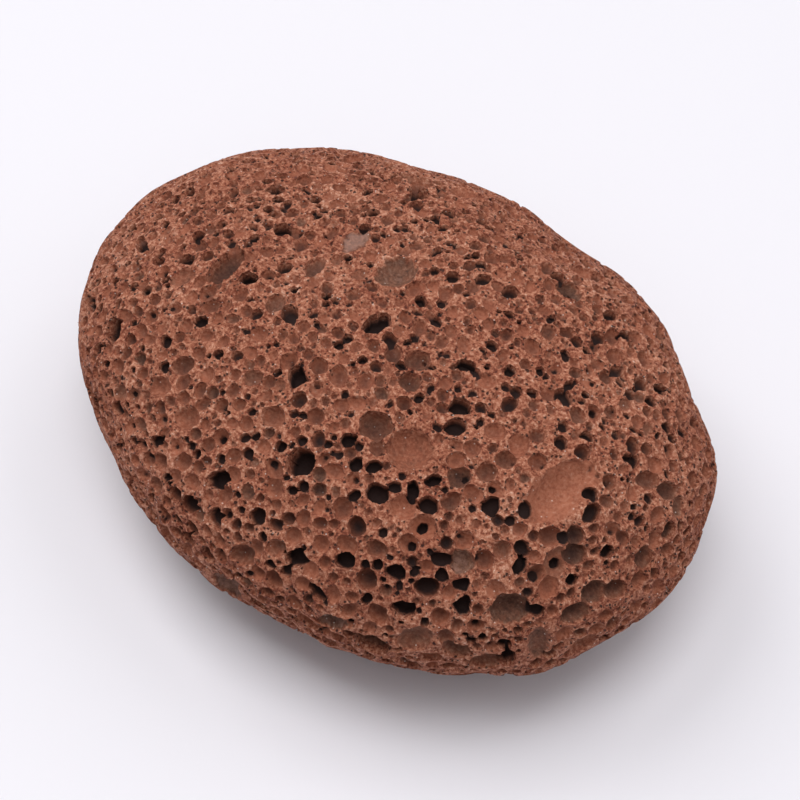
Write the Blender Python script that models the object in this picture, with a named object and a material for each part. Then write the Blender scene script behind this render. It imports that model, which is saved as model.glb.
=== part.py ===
"""Pumice stone: a worn pebble of bubbly lava, the kind used to rub down hard skin.

Metres, +Z up. The stone lies on its worn flat underside at z = 0, with its long axis along X
and its footprint centred on the origin. It is one closed solid.

The surface starts as a sphere, whose points are unit directions from the heart of the stone.
worn_skin() carries each direction out to the worn skin, and bubble_depth() says how far the
open gas bubbles sink into the skin there.
"""

import math
from collections import namedtuple

import bmesh
import bpy
import numpy as np

# Driving dimensions, in millimetres, degrees and plain shares.
MM = 0.001
HALF_LENGTH = 50.0
HALF_WIDTH = 37.3
HALF_HEIGHT = 20.0
FOOT_DROP = 18.8  # from the heart down to the worn flat underside
FULLNESS = 2.3  # exponent of the side outline: 2 is an ellipse, more is boxier
HEART = (0.5, 0.0, FOOT_DROP)  # the heart of the stone, with the footprint centred

# Slow lobes of the outline seen from above: how many, cosine share, sine share.
LOBES = ((3, -0.009, 0.005), (4, 0.002, 0.0))

# Worn corners (+) and flats (-) of the outline: longitude, latitude, spread in degrees, height.
SHOULDERS = (
    (21, 5, 8, 0.6),
    (1, -4, 8, 0.9),
    (-15, -11, 6, -1.4),
    (-29, -8, 8, 1.0),
    (-56, -17, 8, -0.9),
    (-107, -12, 10, -0.6),
    (-152, 7, 10, -0.5),
    (-165, 8, 8, -0.5),
    (164, 23, 8, -0.5),
    (125, 24, 8, 0.2),
    (62, 15, 9, 0.5),
    (39, 10, 9, -2.0),
)

# Uneven wear: mean wavelength and height of the swells, and how many waves are summed.
SWELLS = ((26.0, 0.35, 24), (9.0, 0.12, 40))

# Bubbles set by hand, as they are seen on a sheet through the middle of the stone from an eye
# over its front: millimetres to the right and up, then the length, width and depth of the
# bubble, and the turn of its length in degrees from right towards up.
WIDE_DENTS = (
    (23.5, -13, 12, 6.5, 1.5, 38), (-0.5, 18.5, 6.5, 5, 1.5, 30), (1.5, -7, 6.5, 6, 1.5, 0),
    (-6.5, 23, 5.5, 3.5, 0.5, 40), (-25.5, 19.5, 6.5, 3.5, 2, 41), (16, -30.5, 5.5, 4.5, 2, 8),
    (-3.5, -3.5, 4.5, 4, 2, 0), (2, -35, 5.5, 4, 1.3, 20), (25.5, -31, 4.5, 3, 1.5, 20),
    (12.5, -38, 5, 3.5, 1.5, 8), (20, -35.5, 6.5, 3, 1, 90), (22.5, -23.5, 4.5, 3.3, 1, 60),
    (9, -23.5, 3.5, 3.5, 1.2, 0), (0.5, -15.5, 4, 3.5, 1, 0), (3.5, -18.5, 3.5, 3.5, 1, 90),
    (8, -36.5, 4.5, 3, 1.5, -20), (-31.5, 18, 4, 3, 1, 20), (-35, 2, 4, 3, 1, 0),
    (-31, -2.5, 4, 3.5, 1.2, 0), (-18.5, -2.5, 3.5, 3, 1.2, 0), (24.5, 16, 4, 3, 1.5, -20),
    (17, -6.5, 3.5, 3, 1, 90), (-18, -21.5, 3, 2.5, 1, 0), (-10, -32.5, 4.5, 3, 1.3, 0),
    (-23, -22.5, 4, 3, 1.4, 0),
)
BOWLS = (
    (2.5, 6, 3.5, 3, 1.4, 0), (-31.5, 5, 3.5, 2.5, 1.2, 20), (-18, 14, 3.5, 2.5, 1.1, 50),
    (-12.5, 19.5, 4, 2.5, 1.3, 55), (1.5, 2.5, 3, 3, 1.5, 0), (-1, 7, 3, 2.2, 1.2, 90),
    (8.5, -11, 3, 3, 1.5, 0), (12.5, -10.5, 2.8, 2.6, 1.2, 0), (28, -28, 4, 3, 1.5, 30),
    (25.5, -22.5, 3.2, 2.8, 1.7, 0), (31.5, -27.5, 3.6, 2.8, 1.4, 0), (35.5, -23, 3.6, 3, 1.5, 90),
    (36, -11.5, 3.6, 2.5, 1.2, 0), (39, -13, 3.7, 2.5, 1.4, 0), (40.5, -15.5, 3.2, 2.6, 1, 90),
    (20, -5, 2.3, 2.1, 1.1, 0),
)
DEEP_HOLES = (
    (-14.5, -9, 4, 3.8, 3.5, 0), (-3.5, 11, 4, 2.6, 2.6, 35), (8.5, -1, 2.7, 2.5, 2.4, 0),
    (-15, 3.5, 2.8, 2.2, 2.6, 90), (-41.5, 10, 4, 2.7, 2.9, 90), (-26.5, -11.5, 3, 2.4, 2.6, 0),
    (-15, -23, 3.2, 2.4, 2.6, 0), (-8, -23.5, 2.7, 2.3, 2.4, 0), (0.5, -30.5, 3, 2.3, 2.6, 0),
    (-0.5, -25, 2.6, 2, 2.2, 0), (17.5, -24, 2.4, 1.6, 2.2, 60), (9, -30, 2.6, 1.7, 2.2, 90),
    (2, -13, 2.1, 1.6, 2.2, 90), (15.5, -37.5, 3.5, 2, 2.4, 90), (25, -26, 1.7, 1.5, 1.8, 0),
    (-18, 30.5, 2.6, 2.1, 2.2, 0), (9, -27, 1.8, 1.6, 1.8, 0), (9.5, 5, 2.3, 1.6, 2, 0),
    (-22, 17.5, 2.6, 2.1, 2.2, 0), (-6.5, -9.5, 1.8, 1.7, 1.9, 0), (5, -11.5, 1.7, 1.4, 1.8, 0),
    (-7.5, -5.5, 1.9, 1.7, 1.9, 0), (28, -14, 1.7, 1.5, 1.9, 90), (24, -20, 1.5, 1.4, 1.5, 90),
)
BROKEN_EDGES = ((-4, -35.5, 5, 4, 2.6, -15), (-44, -1, 4.5, 2, 1.9, 90))
EYE_LONGITUDE = -52.53  # degrees from +X towards +Y
EYE_LATITUDE = 57.0
EYE_DISTANCE = 273.6  # from the middle of the sheet
SHEET_MIDDLE = (1.72, 0.71, 0.0)  # from the heart
SIGHTED_POINTS = 200000  # points of the skin among which the ones seen there are looked for
GOLDEN_ANGLE = math.pi * (3 - math.sqrt(5))  # turn from one point of an even spiral to the next

# Bubbles strewn at random, the big ones first: smallest and largest half width, how many, and
# how far the skin there may face the eye, as a cosine. The biggest keep to the other sides.
STREWN = ((1.5, 2.3, 45, 0.6), (1.1, 1.5, 150, 0.6), (0.85, 1.1, 400, 1.0))
DEEP_SHARE = 0.22  # of the strewn bubbles, those that are deeper than a half ball
BOWL_DEPTHS = (0.6, 1.1)  # depth over half width
HOLE_DEPTHS = (1.2, 1.9)
LONGEST_STRETCH = 1.35  # length over width
PLACES_TRIED = 4  # for each bubble that is wanted
CLOSEST = 0.8  # gap between two middles over the sum of their half widths
COARSE_SIDE = (0.64, -0.77, 0.0)  # the side towards which the bubbles grow
COARSENING = (0.75, 1.25)  # size over its mean on the fine side and on the coarse side
BARE_FOOT = 6.0  # radius of the unbroken middle of the underside
SEED = 3040

# The mesh.
SPHERE_SUBDIVISIONS = 8
TRIANGLES = 9400
PLANED = 0.12  # how near the underside a point is when it is worn flat
NEARLY_UP = 0.9  # height of a unit direction past which Z is no use as its helper
PROBE = 0.001  # half the step, in unit directions, between the points that give a normal
NO_EAST = (1e-9, 0.0, 0.0)  # gives east a direction where the skin is level
SMOOTH_ANGLE = 55.0

STONE_COLOUR = (0.231, 0.104, 0.070, 1.0)
STONE_ROUGHNESS = 0.93

Bubble = namedtuple("Bubble", "middle half_width stretch depth lean")


def clear_scene():
    """Remove every object that the scene starts with."""
    for thing in list(bpy.data.objects):
        bpy.data.objects.remove(thing, do_unlink=True)


def unit(vectors):
    """The same directions at length one."""
    return vectors / np.linalg.norm(vectors, axis=-1, keepdims=True)


def direction(longitude, latitude):
    """Unit direction from the heart at a longitude and a latitude in degrees."""
    east, north = math.radians(longitude), math.radians(latitude)
    flat = math.cos(north)
    return np.array(((flat * math.cos(east), flat * math.sin(east), math.sin(north)),))


def swell(points, wavelength, waves, seed):
    """Smooth noise near one in size: plane waves of one wavelength in random directions."""
    rng = np.random.default_rng(seed)
    ways = unit(rng.normal(size=(waves, 3))) * (2 * math.pi / wavelength)
    shifts = rng.uniform(0, 2 * math.pi, waves)
    return math.sqrt(2 / waves) * np.cos(points @ ways.T + shifts).sum(axis=1)


def worn_skin(ways):
    """Points of the worn skin, bubbles left out, in the given unit directions from the heart."""
    turn = np.arctan2(ways[:, 1], ways[:, 0])
    plan = 1 / np.hypot(np.cos(turn) / HALF_LENGTH, np.sin(turn) / HALF_WIDTH)
    lobed = sum(c * np.cos(n * turn) + s * np.sin(n * turn) for n, c, s in LOBES)
    reach = plan * (1 + lobed) * np.hypot(ways[:, 0], ways[:, 1]) ** (2 / FULLNESS)
    rise = HALF_HEIGHT * np.sign(ways[:, 2]) * np.abs(ways[:, 2]) ** (2 / FULLNESS)
    points = np.stack((reach * np.cos(turn), reach * np.sin(turn), rise), axis=1)
    out = np.zeros(len(ways))
    for longitude, latitude, spread, height in SHOULDERS:
        apart = np.linalg.norm(ways - direction(longitude, latitude), axis=1)
        out += height * np.exp(-((apart / math.radians(spread)) ** 2))
    for number, (wavelength, height, waves) in enumerate(SWELLS):
        out += height * swell(points, wavelength, waves, SEED + number)
    points += out[:, None] * ways
    points[:, 2] = np.maximum(points[:, 2], -FOOT_DROP)
    return points


def skin_normals(ways):
    """Outward unit normals of the worn skin in the given directions."""
    steep = np.abs(ways[:, 2:]) > NEARLY_UP
    helper = np.where(steep, (1.0, 0.0, 0.0), (0.0, 0.0, 1.0))
    across = unit(np.cross(helper, ways)) * PROBE
    along = np.cross(ways, across)
    first = worn_skin(unit(ways + across)) - worn_skin(unit(ways - across))
    second = worn_skin(unit(ways + along)) - worn_skin(unit(ways - along))
    return unit(np.cross(first, second))


def tangents(normals):
    """Unit vectors along the skin, level and towards its top, for unit normals."""
    easts = unit(np.cross((0.0, 0.0, 1.0), normals) + NO_EAST)
    return easts, np.cross(normals, easts)


def even_ways(count):
    """Unit directions spread evenly along a spiral from the top of a sphere to its bottom."""
    numbers = np.arange(count)
    heights = 1 - (2 * numbers + 1) / count
    flats = np.sqrt(1 - heights**2)
    turns = numbers * GOLDEN_ANGLE
    return np.stack((flats * np.cos(turns), flats * np.sin(turns), heights), axis=1)


def sighted(eye, back, sheet):
    """Directions whose points of the skin the eye sees closest to places of the sheet."""
    ways = even_ways(SIGHTED_POINTS)
    sights = worn_skin(ways) - eye
    facing = (sights * skin_normals(ways)).sum(axis=1) < 0
    ways, sights = ways[facing], sights[facing]
    seen = eye - EYE_DISTANCE * sights / (sights * back).sum(axis=1, keepdims=True)
    return ways[[np.linalg.norm(seen - place, axis=1).argmin() for place in sheet]]


def set_bubbles():
    """The bubbles set by hand, carried from the sheet to the skin along the lines of sight."""
    rows = np.array(WIDE_DENTS + BOWLS + DEEP_HOLES + BROKEN_EDGES)
    across, rise, lengths, widths, depths, turns = rows.T[:, :, None]
    back = direction(EYE_LONGITUDE, EYE_LATITUDE)
    right = unit(np.cross((0.0, 0.0, 1.0), back))
    up = np.cross(back, right)
    eye = np.array(SHEET_MIDDLE) + EYE_DISTANCE * back
    ways = sighted(eye, back, np.array(SHEET_MIDDLE) + across * right + rise * up)
    normals = skin_normals(ways)
    easts, norths = tangents(normals)
    sights = unit(worn_skin(ways) - eye)
    seen = np.cos(np.radians(turns)) * right + np.sin(np.radians(turns)) * up
    slant = (seen * normals).sum(axis=1) / (sights * normals).sum(axis=1)
    along = seen - slant[:, None] * sights
    leans = np.arctan2((along * norths).sum(axis=1), (along * easts).sum(axis=1))
    shapes = np.concatenate((widths / 2, lengths / widths, depths), axis=1)
    return [Bubble(way, *shape, lean) for way, shape, lean in zip(ways, shapes, leans)]


def strew(rng, bubbles, smallest, largest, count, facing_limit):
    """Add up to count bubbles at random places that the earlier ones leave free."""
    ways = unit(rng.normal(size=(count * PLACES_TRIED, 3)))
    half_axes = np.array((HALF_LENGTH, HALF_WIDTH, HALF_HEIGHT))
    area = HALF_HEIGHT * np.linalg.norm(ways / half_axes, axis=1)
    ways = ways[rng.random(len(ways)) < area]
    facing = unit(worn_skin(ways) / half_axes**2) @ direction(EYE_LONGITUDE, EYE_LATITUDE)[0]
    ways = ways[facing <= facing_limit]
    middles = worn_skin(ways)
    side = np.clip(middles @ np.array(COARSE_SIDE) / HALF_WIDTH, -1, 1)
    coarse = COARSENING[0] + (COARSENING[1] - COARSENING[0]) * (side + 1) / 2
    half_widths = coarse * smallest * (largest / smallest) ** rng.random(len(ways))
    deep = rng.random(len(ways)) < DEEP_SHARE
    holes, bowls = rng.uniform(*HOLE_DEPTHS, len(ways)), rng.uniform(*BOWL_DEPTHS, len(ways))
    depths = half_widths * np.where(deep, holes, bowls)
    stretches = rng.uniform(1, LONGEST_STRETCH, len(ways))
    leans = rng.uniform(0, math.pi, len(ways))
    radii = half_widths * np.sqrt(stretches)
    foot = np.array(((0.0, 0.0, -FOOT_DROP),))
    taken = np.concatenate((foot, worn_skin(np.array([bubble.middle for bubble in bubbles]))))
    cleared = [BARE_FOOT / CLOSEST] + [b.half_width * math.sqrt(b.stretch) for b in bubbles]
    wanted = len(bubbles) + count
    for place in range(len(ways)):
        apart = np.linalg.norm(taken - middles[place], axis=1)
        if (apart < CLOSEST * (np.array(cleared) + radii[place])).any():
            continue
        bubbles.append(
            Bubble(ways[place], half_widths[place], stretches[place], depths[place], leans[place])
        )
        taken = np.append(taken, middles[place : place + 1], axis=0)
        cleared.append(radii[place])
        if len(bubbles) == wanted:
            break


def all_bubbles():
    """Every bubble that is big enough to be cut into the solid."""
    rng = np.random.default_rng(SEED)
    bubbles = set_bubbles()
    for smallest, largest, count, facing_limit in STREWN:
        strew(rng, bubbles, smallest, largest, count, facing_limit)
    return bubbles


def cup(share, steepness):
    """Depth over half width at a share of the way from the middle of a bubble to its rim.

    A shallow bubble is the cap of a ball whose middle is above the skin, and one that is
    deeper than a half ball is half an ellipsoid.
    """
    if steepness < 1:
        ball = (1 + steepness**2) / (2 * steepness)
        return np.sqrt(ball**2 - share**2) - (ball - steepness)
    return steepness * np.sqrt(1 - share**2)


def bubble_depth(skin, bubbles):
    """How far the deepest bubble at each point of the skin sinks below it."""
    sunk = np.zeros(len(skin))
    middles = worn_skin(np.array([bubble.middle for bubble in bubbles]))
    normals = skin_normals(np.array([bubble.middle for bubble in bubbles]))
    easts, norths = tangents(normals)
    for bubble, middle, east, north in zip(bubbles, middles, easts, norths):
        offset = skin - middle
        near = np.nonzero((offset**2).sum(axis=1) < (bubble.half_width * bubble.stretch) ** 2)[0]
        eastward, northward = offset[near] @ east, offset[near] @ north
        length = eastward * math.cos(bubble.lean) + northward * math.sin(bubble.lean)
        width = northward * math.cos(bubble.lean) - eastward * math.sin(bubble.lean)
        share = np.hypot(length / bubble.stretch, width) / bubble.half_width
        inside = near[share < 1]
        depth = bubble.half_width * cup(share[share < 1], bubble.depth / bubble.half_width)
        sunk[inside] = np.maximum(sunk[inside], depth)
    return sunk


def stone_material():
    """Dull reddish-brown lava."""
    material = bpy.data.materials.new("red_brown_lava")
    material.use_nodes = True
    shader = material.node_tree.nodes["Principled BSDF"]
    shader.inputs["Base Color"].default_value = STONE_COLOUR
    shader.inputs["Roughness"].default_value = STONE_ROUGHNESS
    shader.inputs["Metallic"].default_value = 0.0
    return material


def fine_sphere():
    """A sphere of radius one, fine enough to carry the smallest bubble that is cut."""
    mesh = bpy.data.meshes.new("pumice_stone_fine")
    ball = bmesh.new()
    bmesh.ops.create_icosphere(ball, subdivisions=SPHERE_SUBDIVISIONS, radius=1.0)
    ball.to_mesh(mesh)
    ball.free()
    return mesh


def read_points(mesh):
    """The mesh's vertices as an array with one row for each."""
    points = np.empty(len(mesh.vertices) * 3)
    mesh.vertices.foreach_get("co", points)
    return points.reshape(-1, 3)


def write_points(mesh, points):
    """Move the mesh's vertices to the rows of an array."""
    mesh.vertices.foreach_set("co", points.ravel())
    mesh.update()


def thin_out(stone):
    """Replace the fine mesh by one of few faces, which are small where the skin is pitted."""
    fine = stone.data
    thin = stone.modifiers.new("thin_to_few_faces", "DECIMATE")
    thin.ratio = TRIANGLES / len(fine.polygons)
    evaluated = stone.evaluated_get(bpy.context.evaluated_depsgraph_get())
    stone.data = bpy.data.meshes.new_from_object(evaluated)
    stone.data.name = "pumice_stone"
    stone.modifiers.remove(thin)
    bpy.data.meshes.remove(fine)


def plane_underside(mesh):
    """Make the worn underside exactly flat, at z = 0."""
    points = read_points(mesh)
    points[points[:, 2] < PLANED * MM, 2] = 0.0
    write_points(mesh, points)


def build_stone(collection):
    """The whole stone: a fine sphere carried out to the pitted skin, then thinned out."""
    mesh = fine_sphere()
    ways = unit(read_points(mesh))
    pitted = worn_skin(ways) - bubble_depth(worn_skin(ways), all_bubbles())[:, None] * skin_normals(ways)
    write_points(mesh, (pitted + np.array(HEART)) * MM)
    stone = bpy.data.objects.new("pumice_stone", mesh)
    collection.objects.link(stone)
    thin_out(stone)
    plane_underside(stone.data)
    stone.data.materials.append(stone_material())
    stone.data.shade_smooth()
    stone.data.set_sharp_from_angle(angle=math.radians(SMOOTH_ANGLE))


def main():
    """Build the stone in a collection of its own."""
    clear_scene()
    collection = bpy.data.collections.new("pumice_stone")
    bpy.context.scene.collection.children.link(collection)
    build_stone(collection)


main()
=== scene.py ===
"""Dressed model of a pumice stone: a worn pebble of bubbly lava with thousands of open bubbles.

Lengths inside the classes are millimetres and angles degrees. Meshes, lights and the camera
are in metres, +Z up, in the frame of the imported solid.
"""

from __future__ import annotations

import logging
import math
from dataclasses import dataclass, field
from enum import Enum
from typing import Any

import bpy
import numpy as np
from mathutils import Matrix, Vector


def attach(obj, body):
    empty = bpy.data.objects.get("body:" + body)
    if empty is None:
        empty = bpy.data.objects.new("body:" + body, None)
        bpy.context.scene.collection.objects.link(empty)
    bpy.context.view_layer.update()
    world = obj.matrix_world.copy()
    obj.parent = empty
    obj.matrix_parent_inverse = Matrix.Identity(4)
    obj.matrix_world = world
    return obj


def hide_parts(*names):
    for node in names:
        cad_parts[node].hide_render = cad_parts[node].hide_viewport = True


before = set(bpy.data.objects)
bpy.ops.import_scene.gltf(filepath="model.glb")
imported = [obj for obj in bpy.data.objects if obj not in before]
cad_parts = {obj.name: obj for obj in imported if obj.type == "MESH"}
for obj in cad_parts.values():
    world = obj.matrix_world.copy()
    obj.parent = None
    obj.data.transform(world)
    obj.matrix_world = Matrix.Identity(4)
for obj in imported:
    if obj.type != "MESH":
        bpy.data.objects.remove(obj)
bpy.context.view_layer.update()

LOG = logging.getLogger("pumice_stone")
MM = 0.001
NODE = "pumice_stone"
BODY = "root"
SEED = 3040
BAKE_MAP = "OFBake"  # the UV map of the six-square atlas


# ---------------------------------------------------------------- small helpers


def unit(vectors: np.ndarray) -> np.ndarray:
    """The same directions at length one."""
    return vectors / np.linalg.norm(vectors, axis=-1, keepdims=True)


def direction(longitude: float, latitude: float) -> np.ndarray:
    """Unit direction from the heart of the stone.

    Args:
        longitude: Degrees from +X towards +Y.
        latitude: Degrees above the level of the heart.

    Returns:
        An array of three numbers.
    """
    east, north = math.radians(longitude), math.radians(latitude)
    flat = math.cos(north)
    return np.array((flat * math.cos(east), flat * math.sin(east), math.sin(north)))


def swell(points: np.ndarray, wavelength: float, waves: int, seed: int) -> np.ndarray:
    """Smooth noise near one in size.

    It is the sum of plane waves of one wavelength that run in random directions:
    the square root of 2 / waves, times the cosines of each wave's phase at the point.

    Args:
        points: Places in millimetres, three numbers in the last axis.
        wavelength: Millimetres from crest to crest.
        waves: How many waves are summed.
        seed: Which noise of this kind.

    Returns:
        One number for each point.
    """
    rng = np.random.default_rng(seed)
    ways = unit(rng.normal(size=(waves, 3))) * (2 * math.pi / wavelength)
    shifts = rng.uniform(0, 2 * math.pi, waves)
    total = np.zeros(points.shape[:-1])
    for way, shift in zip(ways, shifts):
        total += np.cos(points @ way + shift)
    return math.sqrt(2 / waves) * total


def hex_colour(code: str) -> tuple[float, float, float, float]:
    """Linear colour of an sRGB hex code such as #8c5f50."""
    channels = [int(code[i : i + 2], 16) / 255 for i in (1, 3, 5)]
    linear = [c / 12.92 if c <= 0.04045 else ((c + 0.055) / 1.055) ** 2.4 for c in channels]
    return (linear[0], linear[1], linear[2], 1.0)


def node(
    tree: bpy.types.NodeTree,
    kind: str,
    inputs: dict[Any, Any] | None = None,
    stops: tuple[tuple[float, str], ...] = (),
    **settings: Any,
) -> bpy.types.Node:
    """Add one shader node.

    Args:
        tree: The material's node tree.
        kind: The node's type without its ShaderNode prefix.
        inputs: For each input name or number, an output socket to link or a value to set.
        stops: For a colour ramp, its places and hex colours.
        **settings: The node's own properties.

    Returns:
        The new node.
    """
    made = tree.nodes.new("ShaderNode" + kind)
    for name, value in settings.items():
        setattr(made, name, value)
    for key, value in (inputs or {}).items():
        if isinstance(value, bpy.types.NodeSocket):
            tree.links.new(value, made.inputs[key])
        else:
            made.inputs[key].default_value = value
    if stops:
        elements = made.color_ramp.elements
        while len(elements) < len(stops):
            elements.new(0.5)
        for element, (place, code) in zip(elements, stops):
            element.position = place
            element.color = hex_colour(code)
    return made


# ---------------------------------------------------------------- the shape of the stone


@dataclass(frozen=True)
class WornSkin:
    """The stone without its bubbles: a flattened superellipsoid with uneven wear.

    Attributes:
        half_length: From the heart to the end along X.
        half_width: From the heart to the side along Y.
        half_height: From the heart to the top.
        foot_drop: From the heart down to the worn flat underside.
        fullness: Exponent of the side outline: 2 is an ellipse, more is boxier.
        lobes: Slow lobes of the plan: how many, cosine share, sine share.
        shoulders: Corners (+) and flats (-): longitude, latitude, spread, height.
        swells: Uneven wear: wavelength, height, number of waves.
        heart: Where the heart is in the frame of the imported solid.
    """

    half_length: float = 50.0
    half_width: float = 37.3
    half_height: float = 20.0
    foot_drop: float = 18.8
    fullness: float = 2.3
    lobes: tuple[tuple[float, ...], ...] = ((3, -0.009, 0.005), (4, 0.002, 0.0))
    shoulders: tuple[tuple[float, ...], ...] = (
        (21, 5, 8, 0.6),
        (1, -4, 8, 0.9),
        (-15, -11, 6, -1.4),
        (-29, -8, 8, 1.0),
        (-56, -17, 8, -0.9),
        (-107, -12, 10, -0.6),
        (-152, 7, 10, -0.5),
        (-165, 8, 8, -0.5),
        (164, 23, 8, -0.5),
        (125, 24, 8, 0.2),
        (62, 15, 9, 0.5),
        (39, 10, 9, -2.0),
    )
    swells: tuple[tuple[float, ...], ...] = ((26.0, 0.35, 24), (9.0, 0.12, 40))
    heart: tuple[float, float, float] = (0.5, 0.0, 18.8)

    def points(self, ways: np.ndarray) -> np.ndarray:
        """Points of the worn skin.

        In plan the skin is an ellipse times one plus the lobes. From the side it is the
        curve |x| ** n + |z| ** n = 1 with n the fullness. The shoulders, bell-shaped in the
        angle from their middles, and the swells are added along each direction, and what
        would hang below the foot is cut off level.

        Args:
            ways: Unit directions from the heart, three numbers in the last axis.

        Returns:
            Places relative to the heart, in the same arrangement.
        """
        turn = np.arctan2(ways[..., 1], ways[..., 0])
        plan = 1 / np.hypot(np.cos(turn) / self.half_length, np.sin(turn) / self.half_width)
        lobed = sum(c * np.cos(n * turn) + s * np.sin(n * turn) for n, c, s in self.lobes)
        power = 2 / self.fullness
        reach = plan * (1 + lobed) * np.hypot(ways[..., 0], ways[..., 1]) ** power
        rise = self.half_height * np.sign(ways[..., 2]) * np.abs(ways[..., 2]) ** power
        points = np.stack((reach * np.cos(turn), reach * np.sin(turn), rise), axis=-1)
        out = np.zeros(turn.shape)
        for longitude, latitude, spread, height in self.shoulders:
            apart = np.linalg.norm(ways - direction(longitude, latitude), axis=-1)
            out += height * np.exp(-((apart / math.radians(spread)) ** 2))
        for number, (wavelength, height, waves) in enumerate(self.swells):
            out += height * swell(points, wavelength, waves, SEED + number)
        points += out[..., None] * ways
        points[..., 2] = np.maximum(points[..., 2], -self.foot_drop)
        return points

    def normals(self, ways: np.ndarray) -> np.ndarray:
        """Outward unit normals of the worn skin.

        Each is the cross product of two short chords of the skin, taken a small step to
        both sides of the direction, first across and then along.

        Args:
            ways: Unit directions from the heart, three numbers in the last axis.

        Returns:
            Unit vectors in the same arrangement.
        """
        step, nearly_up = 0.001, 0.9
        steep = np.abs(ways[..., 2:]) > nearly_up
        helper = np.where(steep, (1.0, 0.0, 0.0), (0.0, 0.0, 1.0))
        across = unit(np.cross(helper, ways)) * step
        along = np.cross(ways, across)
        first = self.points(unit(ways + across)) - self.points(unit(ways - across))
        second = self.points(unit(ways + along)) - self.points(unit(ways - along))
        return unit(np.cross(first, second))


class Opening(Enum):
    """How a bubble was cut open."""

    WIDE_DENT = "only the bottom of a big bubble is left"
    BOWL = "less than half of the bubble is left"
    HOLE = "more than half of the bubble is left, so its mouth is narrower than it is"
    BROKEN_EDGE = "a bubble that the side of the stone has broken into"


@dataclass(frozen=True)
class Bubble:
    """One gas bubble that the worn skin has cut open.

    Attributes:
        way: Unit direction from the heart to the middle of its mouth.
        half_width: Half the width of the mouth.
        stretch: Length of the mouth over its width.
        depth: From the mouth's plane to the bottom.
        lean: How far the length is turned from east towards north, in radians.
        shade: Colour of its lining: 0 is tan, 0.5 grey-brown, 0.8 olive and 1 pale grey.
        sunk: How far the plane of its mouth lies below the skin.
    """

    way: np.ndarray
    half_width: float
    stretch: float
    depth: float
    lean: float
    shade: float
    sunk: float = 0.0
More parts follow.
